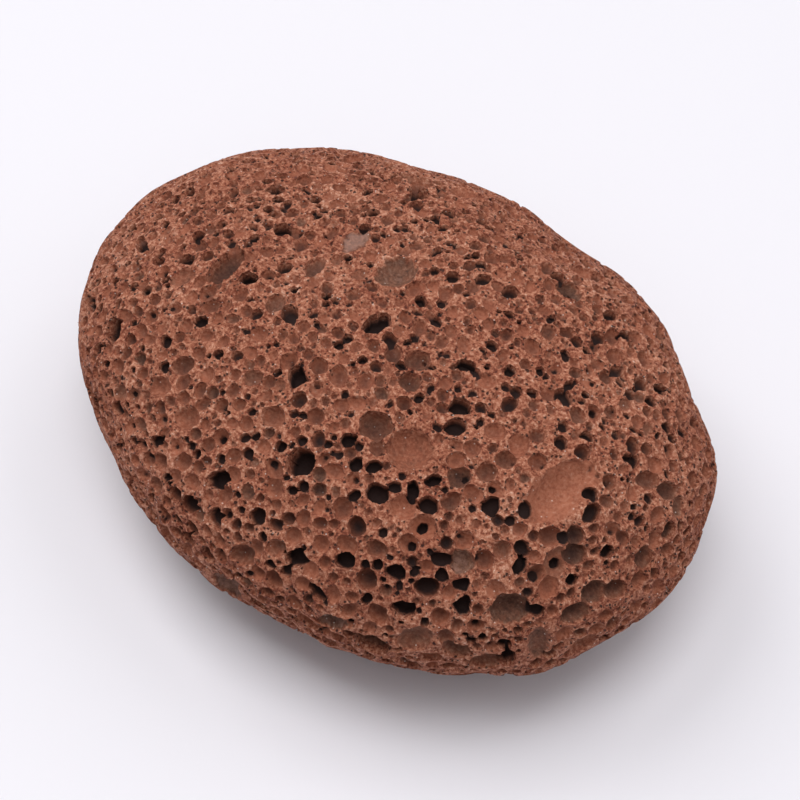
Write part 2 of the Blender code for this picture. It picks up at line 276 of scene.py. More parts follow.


# Bubbles listed one by one, as they are seen on the sheet: millimetres to the right and up,
# then the length, width and depth of the bubble, the turn of its length in degrees from right
# towards up, and the shade of its lining.
SET_BUBBLES: dict[Opening, tuple[tuple[float, ...], ...]] = {
    Opening.WIDE_DENT: (
        (23.5, -13, 12, 6.5, 1.5, 38, 0.1), (-0.5, 18.5, 6.5, 5, 1.5, 30, 0.7),
        (1.5, -7, 6.5, 6, 1.5, 0, 0.3), (-6.5, 23, 5.5, 3.5, 0.5, 40, 1.0),
        (-25.5, 19.5, 6.5, 3.5, 2, 41, 0.5), (16, -30.5, 5.5, 4.5, 2, 8, 0.7),
        (-3.5, -3.5, 4.5, 4, 2, 0, 0.5), (2, -35, 5.5, 4, 1.3, 20, 0.5),
        (25.5, -31, 4.5, 3, 1.5, 20, 0.6), (12.5, -38, 5, 3.5, 1.5, 8, 0.5),
        (20, -35.5, 6.5, 3, 1, 90, 0.6), (22.5, -23.5, 4.5, 3.3, 1, 60, 0.4),
        (9, -23.5, 3.5, 3.5, 1.2, 0, 0.8), (0.5, -15.5, 4, 3.5, 1, 0, 0.2),
        (3.5, -18.5, 3.5, 3.5, 1, 90, 0.2), (8, -36.5, 4.5, 3, 1.5, -20, 0.5),
        (-31.5, 18, 4, 3, 1, 20, 0.4), (-35, 2, 4, 3, 1, 0, 0.3),
        (-31, -2.5, 4, 3.5, 1.2, 0, 0.3), (-18.5, -2.5, 3.5, 3, 1.2, 0, 0.3),
        (24.5, 16, 4, 3, 1.5, -20, 0.7), (17, -6.5, 3.5, 3, 1, 90, 0.2),
        (-18, -21.5, 3, 2.5, 1, 0, 0.4), (-10, -32.5, 4.5, 3, 1.3, 0, 0.8),
        (-23, -22.5, 4, 3, 1.4, 0, 0.4),
    ),
    Opening.BOWL: (
        (2.5, 6, 3.5, 3, 1.4, 0, 0.5), (-31.5, 5, 3.5, 2.5, 1.2, 20, 0.4),
        (-18, 14, 3.5, 2.5, 1.1, 50, 0.5), (-12.5, 19.5, 4, 2.5, 1.3, 55, 0.5),
        (1.5, 2.5, 3, 3, 1.5, 0, 0.5), (-1, 7, 3, 2.2, 1.2, 90, 0.4),
        (8.5, -11, 3, 3, 1.5, 0, 0.6), (12.5, -10.5, 2.8, 2.6, 1.2, 0, 0.4),
        (28, -28, 4, 3, 1.5, 30, 0.6), (25.5, -22.5, 3.2, 2.8, 1.7, 0, 0.6),
        (31.5, -27.5, 3.6, 2.8, 1.4, 0, 0.5), (35.5, -23, 3.6, 3, 1.5, 90, 0.5),
        (36, -11.5, 3.6, 2.5, 1.2, 0, 0.4), (39, -13, 3.7, 2.5, 1.4, 0, 0.5),
        (40.5, -15.5, 3.2, 2.6, 1, 90, 0.6), (20, -5, 2.3, 2.1, 1.1, 0, 0.3),
    ),
    Opening.HOLE: (
        (-14.5, -9, 4, 3.8, 3.5, 0, 0.4), (-3.5, 11, 4, 2.6, 2.6, 35, 0.5),
        (8.5, -1, 2.7, 2.5, 2.4, 0, 0.1), (-15, 3.5, 2.8, 2.2, 2.6, 90, 0.4),
        (-41.5, 10, 4, 2.7, 2.9, 90, 0.4), (-26.5, -11.5, 3, 2.4, 2.6, 0, 0.4),
        (-15, -23, 3.2, 2.4, 2.6, 0, 0.4), (-8, -23.5, 2.7, 2.3, 2.4, 0, 0.4),
        (0.5, -30.5, 3, 2.3, 2.6, 0, 0.4), (-0.5, -25, 2.6, 2, 2.2, 0, 0.4),
        (17.5, -24, 2.4, 1.6, 2.2, 60, 0.4), (9, -30, 2.6, 1.7, 2.2, 90, 0.4),
        (2, -13, 2.1, 1.6, 2.2, 90, 0.4), (15.5, -37.5, 3.5, 2, 2.4, 90, 0.4),
        (25, -26, 1.7, 1.5, 1.8, 0, 0.4), (-18, 30.5, 2.6, 2.1, 2.2, 0, 0.4),
        (9, -27, 1.8, 1.6, 1.8, 0, 0.4), (9.5, 5, 2.3, 1.6, 2, 0, 0.4),
        (-22, 17.5, 2.6, 2.1, 2.2, 0, 0.4), (-6.5, -9.5, 1.8, 1.7, 1.9, 0, 0.4),
        (5, -11.5, 1.7, 1.4, 1.8, 0, 0.4), (-7.5, -5.5, 1.9, 1.7, 1.9, 0, 0.4),
        (28, -14, 1.7, 1.5, 1.9, 90, 0.4), (24, -20, 1.5, 1.4, 1.5, 90, 0.4),
    ),
    Opening.BROKEN_EDGE: (
        (-4, -35.5, 5, 4, 2.6, -15, 0.6), (-44, -1, 5, 3, 2.6, 90, 0.6),
    ),
}


def tangents(normals: np.ndarray) -> tuple[np.ndarray, np.ndarray]:
    """Unit vectors along the skin, level and towards its top, for unit normals."""
    easts = unit(np.cross((0.0, 0.0, 1.0), normals) + (1e-9, 0.0, 0.0))
    return easts, np.cross(normals, easts)


@dataclass(frozen=True)
class Sheet:
    """A sheet through the middle of the stone, and the eye over its front that sees it.

    Attributes:
        middle: The middle of the sheet, relative to the heart.
        longitude: Degrees from +X towards +Y to the eye.
        latitude: Degrees above the level of the sheet's middle to the eye.
        distance: From the middle of the sheet to the eye.
        points: How many points of the skin are tried for each place of the sheet.
    """

    middle: tuple[float, float, float] = (1.72, 0.71, 0.0)
    longitude: float = -52.53
    latitude: float = 57.0
    distance: float = 273.6
    points: int = 200000

    def back(self) -> np.ndarray:
        """Unit direction from the middle of the sheet to the eye."""
        return direction(self.longitude, self.latitude)

    def eye(self) -> np.ndarray:
        """The eye, relative to the heart."""
        return np.array(self.middle) + self.distance * self.back()

    def edges(self) -> tuple[np.ndarray, np.ndarray]:
        """Unit directions to the right and up along the sheet."""
        right = unit(np.cross((0.0, 0.0, 1.0), self.back()))
        return right, np.cross(self.back(), right)

    def sighted(self, skin: WornSkin, places: np.ndarray) -> np.ndarray:
        """Directions whose points of the skin the eye sees closest to places of the sheet.

        The points tried lie on an even spiral: their heights fall in equal steps from 1 to
        -1, and each is turned from the last by pi * (3 - the square root of 5).

        Args:
            skin: The worn skin.
            places: Places of the sheet, relative to the heart.

        Returns:
            One unit direction from the heart for each place.
        """
        numbers = np.arange(self.points)
        heights = 1 - (2 * numbers + 1) / self.points
        flats = np.sqrt(1 - heights**2)
        turns = numbers * math.pi * (3 - math.sqrt(5))
        ways = np.stack((flats * np.cos(turns), flats * np.sin(turns), heights), axis=1)
        sights = skin.points(ways) - self.eye()
        facing = (sights * skin.normals(ways)).sum(axis=1) < 0
        ways, sights = ways[facing], sights[facing]
        seen = self.eye() - self.distance * sights / (sights @ self.back())[:, None]
        return ways[[np.linalg.norm(seen - place, axis=1).argmin() for place in places]]

    def turned(self, skin: WornSkin, ways: np.ndarray, turns: np.ndarray) -> np.ndarray:
        """Turns seen on the sheet, carried to the skin along the lines of sight.

        Args:
            skin: The worn skin.
            ways: Unit directions from the heart.
            turns: Radians on the sheet, from right towards up.

        Returns:
            Radians on the skin, from east towards north.
        """
        right, up = self.edges()
        normals = skin.normals(ways)
        easts, norths = tangents(normals)
        sights = unit(skin.points(ways) - self.eye())
        seen = np.cos(turns)[:, None] * right + np.sin(turns)[:, None] * up
        slant = (seen * normals).sum(axis=1) / (sights * normals).sum(axis=1)
        along = seen - slant[:, None] * sights
        return np.arctan2((along * norths).sum(axis=1), (along * easts).sum(axis=1))


@dataclass(frozen=True)
class SizeClass:
    """Bubbles of about one size that are strewn at random.

    Attributes:
        smallest: Half width of the smallest mouth.
        largest: Half width of the largest mouth.
        count: How many there are at most.
        deep_share: The share that are holes and not bowls.
        hole_depths: Depth over half width of the shallowest and the deepest hole.
        bowl_depths: Depth over half width of the shallowest and the deepest bowl.
        closest: Gap between two middles over the sum of their half widths.
        fine_share: How many there are on the fine side over those on the coarse side.
        facing_limit: How far the skin there may face the eye, as a cosine.
        coarsening: Size over its mean on the fine side and on the coarse side.
    """

    smallest: float
    largest: float
    count: int
    deep_share: float = 0.22
    hole_depths: tuple[float, float] = (1.2, 1.9)
    bowl_depths: tuple[float, float] = (0.6, 1.1)
    closest: float = 0.8
    fine_share: float = 1.0
    facing_limit: float = 1.0
    coarsening: tuple[float, float] = (0.75, 1.25)


@dataclass
class BubbleField:
    """All the bubbles of the stone: those listed one by one, those strewn, and the inner ones.

    Attributes:
        skin: The worn skin that they open into.
        sheet: The sheet on which the listed ones are given.
        classes: The strewn sizes, big ones first.
        longest_stretch: Greatest length over width.
        places_tried: Random places tried for each strewn bubble wanted.
        coarse_side: The side towards which the bubbles grow.
        shade_spread: The two powers of the beta spread of the shades.
        bare_foot: Radius of the unbroken middle of the underside.
        pierced: Half width of the smallest and the largest bowl that others break into.
        inner_share: Share of these bowls with a smaller bubble open in their wall.
        pierced_depth: Depth over half width of the deepest such bowl.
        inner_sizes: Half width of a bubble that breaks in over that of the bowl.
        inner_places: How far out it lies, over the half width of the bowl.
        inner_stretch: Greatest length over width of it.
        inner_depths: Depth over half width of the shallowest and the deepest of them.
        bubbles: All the bubbles that open into the skin itself.
    """

    skin: WornSkin
    sheet: Sheet = Sheet()
    classes: tuple[SizeClass, ...] = (
        SizeClass(1.5, 2.3, 45, facing_limit=0.6),
        SizeClass(1.1, 1.5, 150, facing_limit=0.6),
        SizeClass(0.85, 1.1, 400),
        SizeClass(0.85, 1.2, 420, 0.08, (1.3, 1.9), (0.65, 1.0), 0.9, 0.2, coarsening=(0.8, 1.15)),
        SizeClass(0.6, 0.85, 2000, 0.22, (1.4, 2.1), (0.8, 1.25), 0.98, coarsening=(0.95, 1.1)),
        SizeClass(0.44, 0.6, 3600, 0.32, (1.5, 2.2), (0.9, 1.3), 1.04, coarsening=(1.0, 1.1)),
        SizeClass(0.32, 0.43, 5500, 0.32, (1.5, 2.2), (0.9, 1.3), 1.06, coarsening=(1.0, 1.0)),
    )
    longest_stretch: float = 1.35
    places_tried: int = 4
    coarse_side: tuple[float, float, float] = (0.64, -0.77, 0.0)
    shade_spread: tuple[float, float] = (1.2, 4.5)
    bare_foot: float = 6.0
    pierced: tuple[float, float] = (0.7, 2.0)
    inner_share: float = 0.3
    pierced_depth: float = 1.2
    inner_sizes: tuple[float, float] = (0.2, 0.42)
    inner_places: tuple[float, float] = (0.1, 0.75)
    inner_stretch: float = 1.3
    inner_depths: tuple[float, float] = (1.2, 2.4)
    bubbles: list[Bubble] = field(default_factory=list)

    def set_by_hand(self) -> None:
        """Add the bubbles whose places on the sheet are given."""
        rows = np.array([row for group in SET_BUBBLES.values() for row in group])
        across, rise, lengths, widths, depths, turns, shades = rows.T
        right, up = self.sheet.edges()
        places = self.sheet.middle + across[:, None] * right + rise[:, None] * up
        ways = self.sheet.sighted(self.skin, places)
        leans = self.sheet.turned(self.skin, ways, np.radians(turns))
        shapes = zip(ways, widths / 2, lengths / widths, depths, leans, shades)
        self.bubbles.extend(Bubble(*shape) for shape in shapes)

    def strew(self, rng: np.random.Generator, size: SizeClass) -> None:
        """Add one size class at random places that the earlier bubbles leave free.

        Args:
            rng: The source of chance for every class in turn.
            size: The class to add.
        """
        ways = unit(rng.normal(size=(size.count * self.places_tried, 3)))
        skin = self.skin
        half_axes = np.array((skin.half_length, skin.half_width, skin.half_height))
        area = skin.half_height * np.linalg.norm(ways / half_axes, axis=1)
        ways = ways[rng.random(len(ways)) < area]
        facing = unit(skin.points(ways) / half_axes**2) @ self.sheet.back()
        ways = ways[facing <= size.facing_limit]
        middles = skin.points(ways)
        side = np.clip(middles @ np.array(self.coarse_side) / skin.half_width, -1, 1)
        fine, coarse = size.coarsening
        grown = fine + (coarse - fine) * (side + 1) / 2
        spread = size.largest / size.smallest
        half_widths = grown * size.smallest * spread ** rng.random(len(ways))
        deep = rng.random(len(ways)) < size.deep_share
        holes = rng.uniform(*size.hole_depths, len(ways))
        bowls = rng.uniform(*size.bowl_depths, len(ways))
        depths = half_widths * np.where(deep, holes, bowls)
        stretches = rng.uniform(1, self.longest_stretch, len(ways))
        leans = rng.uniform(0, math.pi, len(ways))
        own = np.random.default_rng(SEED + len(self.bubbles))
        shades = own.beta(*self.shade_spread, len(ways))
        radii = half_widths * np.sqrt(stretches)
        keep = size.fine_share + (1 - size.fine_share) * (side + 1) / 2
        wanted = np.random.default_rng(SEED + len(self.bubbles)).random(len(ways)) < keep
        before = len(self.bubbles) + 1
        taken = np.empty((before + size.count, 3))
        cleared = np.empty(before + size.count)
        taken[0], cleared[0] = (0.0, 0.0, -skin.foot_drop), self.bare_foot / size.closest
        taken[1:before] = skin.points(np.array([bubble.way for bubble in self.bubbles]))
        cleared[1:before] = [b.half_width * math.sqrt(b.stretch) for b in self.bubbles]
        shapes = (ways, half_widths, stretches, depths, leans, shades)
        filled = before
        for place in np.flatnonzero(wanted):
            apart = np.linalg.norm(taken[:filled] - middles[place], axis=1)
            if (apart < size.closest * (cleared[:filled] + radii[place])).any():
                continue
            self.bubbles.append(Bubble(*(values[place] for values in shapes)))
            taken[filled], cleared[filled] = middles[place], radii[place]
            filled += 1
            if filled == len(taken):
                break

    def break_through(self, rng: np.random.Generator) -> list[Bubble]:
        """Smaller bubbles that open into the walls of the bowls.

        Args:
            rng: The source of chance.

        Returns:
            The inner bubbles, each with its mouth below the skin.
        """
        inner = []
        askew = np.array((0.3, 0.5, 0.8))
        smallest, largest = self.pierced
        for bowl in self.bubbles:
            steepness = bowl.depth / bowl.half_width
            fit = smallest < bowl.half_width < largest and steepness < self.pierced_depth
            if not fit or rng.random() > self.inner_share:
                continue
            half_width = bowl.half_width * rng.uniform(*self.inner_sizes)
            away = rng.uniform(*self.inner_places) * bowl.half_width
            bearing = rng.uniform(0, 2 * math.pi)
            middle = self.skin.points(bowl.way[None])[0]
            side = unit(np.cross(bowl.way, askew))
            other = np.cross(bowl.way, side)
            offset = away * (math.cos(bearing) * side + math.sin(bearing) * other)
            way = unit(bowl.way + offset / np.linalg.norm(middle))
            share = away / bowl.half_width
            sunk = bowl.depth * (1 - share**2)
            stretch = rng.uniform(1, self.inner_stretch)
            depth = half_width * rng.uniform(*self.inner_depths)
            lean = rng.uniform(0, math.pi)
            inner.append(Bubble(way, half_width, stretch, depth, lean, bowl.shade, sunk))
        return inner

    def fill(self) -> list[Bubble]:
        """Every bubble, big ones first and the inner ones last."""
        rng = np.random.default_rng(SEED)
        self.set_by_hand()
        for size in self.classes:
            self.strew(rng, size)
        return self.bubbles + self.break_through(np.random.default_rng(SEED + 9))


@dataclass
class CubeSide:
    """One of the six square grids that cover the stone, as the sides of a cube cover a ball.

    Attributes:
        skin: The worn skin.
        across: The cube's direction along the grid's first parameter.
        up: The cube's direction along the grid's second parameter.
        cells: Grid cells along each edge.
        raggedness: How far the outlines of the bubbles stray from round.
        ragged_sizes: Wavelengths of the coarse and the fine straying.
        hollow: How deep the rind is worn in between the bubbles.
        hollow_size: Wavelength of these hollows.
        waves: How many waves make each of these patterns.
        fresh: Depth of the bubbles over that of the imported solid's, whose rims are blunter.
        smooth_from: Half width of the smallest bubble whose lining is as smooth as any.
        plain_shade: Shade of the lining where there is no bubble.
        least_reach: Fewest millimetres that the skin covers in a radian.
    """

    skin: WornSkin
    across: np.ndarray
    up: np.ndarray
    cells: int
    raggedness: float = 0.07
    ragged_sizes: tuple[float, float] = (1.5, 0.6)
    hollow: float = 0.2
    hollow_size: float = 2.1
    waves: int = 40
    fresh: float = 1.2
    smooth_from: float = 0.8
    plain_shade: float = 0.3
    least_reach: float = 16.0

    def lay_out(self) -> None:
        """Work out the grid's directions, skin points and normals.

        The two parameters run from -1 to 1. The direction is that of
        out + across * tan(45 degrees * first) + up * tan(45 degrees * second).
        """
        self.out = np.cross(self.across, self.up)
        edge = np.tan(np.linspace(-1, 1, self.cells + 1) * math.pi / 4)
        first, second = np.meshgrid(edge, edge, indexing="ij")
        self.ways = unit(
            self.out + first[..., None] * self.across + second[..., None] * self.up
        )
        self.worn = self.skin.points(self.ways)
        self.normals = self.skin.normals(self.ways)
        coarse_size, fine_size = self.ragged_sizes
        coarse = swell(self.worn, coarse_size, self.waves, SEED + 5)
        fine = swell(self.worn, fine_size, self.waves, SEED + 6)
        hollows = swell(self.worn, self.hollow_size, self.waves, SEED + 7)
        self.ragged = np.clip(self.raggedness * (coarse + 0.5 * fine), -0.5, 0.5)
        self.sunk = self.hollow * np.maximum(hollows, 0)
        self.lining = np.zeros(self.ways.shape[:2])
        self.closed = np.zeros(self.ways.shape[:2])
        self.shade = np.full(self.ways.shape[:2], self.plain_shade)

    def window(self, way: np.ndarray, reach: float) -> tuple[slice, slice] | None:
        """The part of the grid that a bubble can touch, or None.

        Args:
            way: Unit direction to the middle of the bubble.
            reach: Its greatest half width in millimetres.

        Returns:
            Two slices of the grid.
        """
        least_facing, margin = 0.3, 1.5
        facing = way @ self.out
        if facing < least_facing:
            return None
        half = margin * reach / self.least_reach * 4 / math.pi
        slices = []
        for axis in (self.across, self.up):
            place = math.atan(way @ axis / facing) * 4 / math.pi
            low = math.floor((place - half + 1) / 2 * self.cells)
            high = math.ceil((place + half + 1) / 2 * self.cells) + 1
            if high <= 0 or low > self.cells:
                return None
            slices.append(slice(max(low, 0), high))
        return slices[0], slices[1]

    def carve(
        self, bubble: Bubble, middle: np.ndarray, east: np.ndarray, north: np.ndarray
    ) -> None:
        """Cut one bubble into the skin, as a ball that is sunk along the normals.

        With k the depth over the half width, the ball's radius is (1 + k * k) / 2k half
        widths, and its middle lies k minus that below the mouth. Where a normal meets the
        ball, the skin sinks to the ball's far side, if the near side is already open.

        Args:
            bubble: What to cut.
            middle: The point of the worn skin over the middle of the bubble.
            east: Unit vector along the skin there.
            north: Unit vector along the skin, square to east.
        """
        spare = 1.25  # for the straying of the outline
        reach = bubble.half_width * bubble.stretch * spare
        window = self.window(bubble.way, reach)
        if window is None:
            return
        offset = self.worn[window] - middle
        eastward, northward = offset @ east, offset @ north
        along, beside = math.cos(bubble.lean), math.sin(bubble.lean)
        length = (eastward * along + northward * beside) / bubble.stretch
        width = northward * along - eastward * beside
        share = (length**2 + width**2) / bubble.half_width**2 * (1 + self.ragged[window])
        height = np.abs((offset**2).sum(axis=-1) - eastward**2 - northward**2)
        steepness = self.fresh * bubble.depth / bubble.half_width
        ball = (1 + steepness**2) / (2 * steepness)
        inside = (ball**2 - share > 0) & (height < (2 * reach) ** 2)
        half_chord = np.sqrt(np.maximum(ball**2 - share, 0))
        floor = bubble.sunk + bubble.half_width * (steepness - ball + half_chord)
        roof = bubble.sunk + bubble.half_width * (steepness - ball - half_chord)
        now = self.sunk[window]
        cut = inside & (roof <= now) & (floor > now)
        now[cut] = floor[cut]
        self.lining[window][cut] = min(1.0, bubble.half_width / self.smooth_from)
        # closed, depth over half width, is what the finish paints shade by
        self.closed[window][cut] = (floor[cut] - bubble.sunk) / bubble.half_width
        self.shade[window][cut] = bubble.shade

    def surface(self) -> np.ndarray:
        """The pitted surface: the worn skin moved in along its normals."""
        return self.worn - self.sunk[..., None] * self.normals


@dataclass
class PumiceStone:
    """The stone itself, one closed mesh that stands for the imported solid.

    Attributes:
        skin: Its worn skin.
        cells: Grid cells along each edge of the six grids.
        triangles: How many triangles are kept where they matter most.
        crisp: Angle in degrees above which an edge is shaded sharp.
        seam_gap: Share of an atlas square that is left free at each edge.
    """

    skin: WornSkin = WornSkin()
    cells: int = 400
    triangles: int = 198000
    crisp: float = 50.0
    seam_gap: float = 0.06

    def build(self) -> bpy.types.Object:
        """Make the mesh.

        Returns:
            The stone's object, at the origin, with its place in its mesh.
        """
        sides = self.carved_sides()
        points = np.concatenate([side.surface().reshape(-1, 3) for side in sides])
        ways = np.concatenate([side.ways.reshape(-1, 3) for side in sides])
        step = np.arange((self.cells + 1) ** 2).reshape(self.cells + 1, self.cells + 1)
        quads = np.stack((step[:-1, :-1], step[1:, :-1], step[1:, 1:], step[:-1, 1:]), -1)
        quads = quads.reshape(-1, 4)
        faces = np.concatenate([quads + number * step.size for number in range(len(sides))])
        steps = 100000  # two directions that differ by less than one part in this are one point
        whole, span = np.round(ways * steps).astype(np.int64) + 2 * steps, 5 * steps
        keys = whole @ np.array((1, span, span**2))
        kept, places = np.unique(keys, return_index=True)
        faces = np.searchsorted(kept, keys)[faces]
        mesh = bpy.data.meshes.new(NODE + "_skin")
        mesh.vertices.add(len(places))
        heart = np.array(self.skin.heart)
        mesh.vertices.foreach_set("co", ((points[places] + heart) * MM).ravel())
        mesh.loops.add(faces.size)
        mesh.loops.foreach_set("vertex_index", faces.ravel().astype(np.int32))
        mesh.polygons.add(len(faces))
        mesh.polygons.foreach_set("loop_start", np.arange(0, faces.size, 4, dtype=np.int32))
        mesh.update(calc_edges=True)
        for name in ("closed", "lining", "shade"):
            values = np.concatenate([getattr(side, name).ravel() for side in sides])
            layer = mesh.attributes.new(name, "FLOAT", "POINT")
            layer.data.foreach_set("value", values[places].astype(np.float32))
        layer = mesh.attributes.new("way", "FLOAT_VECTOR", "POINT")
        layer.data.foreach_set("vector", ways[places].astype(np.float32).ravel())
        stone = bpy.data.objects.new(NODE + "_skin", mesh)
        bpy.context.scene.collection.objects.link(stone)
        self.thin_out(stone)
        self.unwrap(stone.data)
        stone.data.shade_smooth()
        stone.data.set_sharp_from_angle(angle=math.radians(self.crisp))
        return stone

    def carved_sides(self) -> list[CubeSide]:
        """The six grids with every bubble cut into them."""
        axes = np.eye(3)
        sides = []
        for turn in range(3):
            across, up = axes[(turn + 1) % 3], axes[(turn + 2) % 3]
            sides.append(CubeSide(self.skin, across, up, self.cells))
            sides.append(CubeSide(self.skin, up, across, self.cells))
        for side in sides:
            side.lay_out()
        bubbles = BubbleField(self.skin).fill()
        ways = np.array([bubble.way for bubble in bubbles])
        middles, normals = self.skin.points(ways), self.skin.normals(ways)
        easts, norths = tangents(normals)
        for bubble, middle, east, north in zip(bubbles, middles, easts, norths):
            for side in sides:
                side.carve(bubble, middle, east, north)
        LOG.info("carved %d bubbles", len(bubbles))
        return sides

    def thin_out(self, stone: bpy.types.Object) -> None:
        """Keep few faces where the surface is even and many at the rims of the bubbles.

        Args:
            stone: The object whose fine mesh is replaced.
        """
        fine = stone.data
        thin = stone.modifiers.new("thin_out", "DECIMATE")
        thin.ratio = self.triangles / (2 * len(fine.polygons))
        thin.use_collapse_triangulate = True
        evaluated = stone.evaluated_get(bpy.context.evaluated_depsgraph_get())
        stone.data = bpy.data.meshes.new_from_object(evaluated)
        stone.data.name = stone.name
        stone.modifiers.remove(thin)
        bpy.data.meshes.remove(fine)

    def unwrap(self, mesh: bpy.types.Mesh) -> None:
        """Lay the surface out on an atlas of six squares, one for each side of the cube.

        A corner's place in its square is the angle, over 45 degrees, whose tangent is its
        direction's part along the square's edge over its part square to the side.

        Args:
            mesh: The thinned mesh, which carries each point's direction.
        """
        ways = np.empty(len(mesh.vertices) * 3, np.float32)
        mesh.attributes["way"].data.foreach_get("vector", ways)
        ways = unit(ways.reshape(-1, 3).astype(float))
        corners = np.empty(len(mesh.loops), np.int32)
        mesh.loops.foreach_get("vertex_index", corners)
        spots = ways[corners].reshape(-1, 3, 3)
        middle = spots.mean(axis=1)
        main = np.abs(middle).argmax(axis=1)
        rows = np.arange(len(main))
        negative = middle[rows, main] < 0
        out = np.abs(spots[rows, :, main])
        first = spots[rows, :, (main + 1) % 3]
        second = spots[rows, :, (main + 2) % 3]
        scale = (0.5 - self.seam_gap) * 4 / math.pi
        across = 0.5 + scale * np.arctan(first / out)
        up = 0.5 + scale * np.arctan(second / out)
        across[negative] = 1 - across[negative]
        places = np.stack(((across + main[:, None]) / 3, (up + negative[:, None]) / 2), -1)
        layer = mesh.uv_layers.new(name=BAKE_MAP)
        layer.data.foreach_set("uv", places.astype(np.float32).ravel())
        mesh.attributes.remove(mesh.attributes["way"])

    def dress(self, stone: bpy.types.Object) -> None:
        """Give the stone its finish and its place in the frame.

        Args:
            stone: The object that build made.
        """
        stone.data.materials.clear()
        stone.data.materials.append(LavaFinish().material())
        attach(stone, BODY)
        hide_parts(NODE)


# ---------------------------------------------------------------- the finish


@dataclass(frozen=True)
class LavaFinish:
    """Vesicular basaltic lava, oxidised red-brown, as broken and tumbled.

    The worn rind is gritty: rust-red and pinkish crumbs of glass and feldspar in a dull
    matrix, with pale crystals and with pinholes, whose shade is painted as dots. The insides of
    the bubbles are smoother, tan to olive grey, and the narrow ones let no light out: that
    shade is painted into the colour of the deep ones, the more the deeper they are.

    Attributes:
        crumbs, linings: Colours of the rind, and of the insides by their shade.
        shaded_pinhole, crystal, painted_shade: Painted shade of the pinholes, colour of the
            crystals, and painted shade at the bottom of deep bubbles.
        crumb_size, patch_size, mottle_size, pinhole_spacing, crystal_spacing: Millimetres
            from one to the next.
        pinhole_edge, crystal_edge: Where a dot starts and ends to fade, over its spacing.
        lining_share: How much of its own colour the smoothest inside shows.
        mottling: How far the shade strays inside one bubble.
        shade_paint_depths, shade_paint_strength: Depths over half width where the painted shade of
            a bubble starts and where it is full, and how strong it is there.
        relief: Height of the grit in millimetres.
        roughness_rind, roughness_lining: Of the rind and of the smoothest insides.
    """

    crumbs: tuple[tuple[float, str], ...] = (
        (0.25, "#43170c"),
        (0.4, "#80412c"),
        (0.53, "#a5664c"),
        (0.66, "#c2876d"),
        (0.82, "#dab39f"),
    )
    linings: tuple[tuple[float, str], ...] = (
        (0.05, "#9a593f"),
        (0.3, "#82472f"),
        (0.55, "#694230"),
        (0.75, "#433124"),
        (1.0, "#8b6c60"),
    )
    # painted shade of pinholes too small for the mesh
    shaded_pinhole: str = "#2b0f08"
    crystal: str = "#e6d8ce"
    # painted shade for the bottoms of deep bubbles
    painted_shade: str = "#1e0603"
    crumb_size: float = 0.5
    patch_size: float = 9.0
    mottle_size: float = 1.2
    pinhole_spacing: float = 0.8
    crystal_spacing: float = 1.3
    pinhole_edge: tuple[float, float] = (0.13, 0.27)
    crystal_edge: tuple[float, float] = (0.05, 0.1)
    lining_share: float = 0.72
    mottling: float = 0.17
    shade_paint_depths: tuple[float, float] = (0.6, 1.6)
    shade_paint_strength: float = 0.98
    relief: float = 0.3
    roughness_rind: float = 0.95
    roughness_lining: float = 0.85

    def material(self) -> bpy.types.Material:
        """Make the material.

        Returns:
            A material whose patterns follow Object coordinates in millimetres.
        """
        material = bpy.data.materials.new("vesicular_red_lava")
        material.use_nodes = True
        tree = material.node_tree
        coordinates = node(tree, "TexCoord").outputs["Object"]
        scaled = node(tree, "VectorMath", {0: coordinates, "Scale": 1 / MM}, operation="SCALE")
        place = scaled.outputs["Vector"]
        closed = node(tree, "Attribute", attribute_name="closed").outputs["Fac"]
        lining = node(tree, "Attribute", attribute_name="lining").outputs["Fac"]
        lined = self.ranged(tree, lining, (0.2, 1.0), (0.0, self.lining_share))

        rind, height = self.rind(tree, place)
        colour = self.mix(tree, lined, rind, self.lining(tree, place))
        # pinholes: dots of painted shade in the colour, and a small dip in the bump
        shaded_pinhole, crystal = self.specks(tree, place)
        shown = self.ranged(tree, lining, (0.3, 0.9), (1.0, 0.12))
        shaded_pinhole = node(tree, "Math", {0: shaded_pinhole, 1: shown}, operation="MULTIPLY").outputs[0]
        colour = self.mix(tree, shaded_pinhole, colour, hex_colour(self.shaded_pinhole))
        colour = self.mix(tree, crystal, colour, hex_colour(self.crystal))
        # painted shade: deep bubbles are coloured towards a near-black brown by their depth over
        # half width, for the light that cannot get out
        depth = self.ranged(tree, closed, self.shade_paint_depths, (0.0, self.shade_paint_strength))
        colour = self.mix(tree, depth, colour, hex_colour(self.painted_shade))

        gritty = self.ranged(tree, lining, (0.0, 1.0), (1.0, 0.45))
        height = node(tree, "Math", {0: height, 1: gritty}, operation="MULTIPLY").outputs[0]
        height = node(
            tree, "Math", {0: shaded_pinhole, 1: -0.6, 2: height}, operation="MULTIPLY_ADD"
        ).outputs[0]
        bump = node(tree, "Bump", {"Height": height, "Distance": self.relief * MM})
        shader = tree.nodes["Principled BSDF"]
        rough = self.ranged(tree, lining, (0.0, 1.0), (self.roughness_rind, self.roughness_lining))
        tree.links.new(colour, shader.inputs["Base Color"])
        tree.links.new(rough, shader.inputs["Roughness"])
        tree.links.new(bump.outputs["Normal"], shader.inputs["Normal"])
        return material

    def ranged(
        self,
        tree: bpy.types.NodeTree,
        value: bpy.types.NodeSocket,
        source: tuple[float, float],
        target: tuple[float, float],
    ) -> bpy.types.NodeSocket:
        """A value moved from one range into another and held there.

        Args:
            tree: The material's node tree.
            value: The value to move.
            source: The range it is in.
            target: The range it goes to.

        Returns:
            The moved value.
        """
        names = ("Value", "From Min", "From Max", "To Min", "To Max")
        inputs = dict(zip(names, (value, *source, *target)))
        return node(tree, "MapRange", inputs).outputs["Result"]

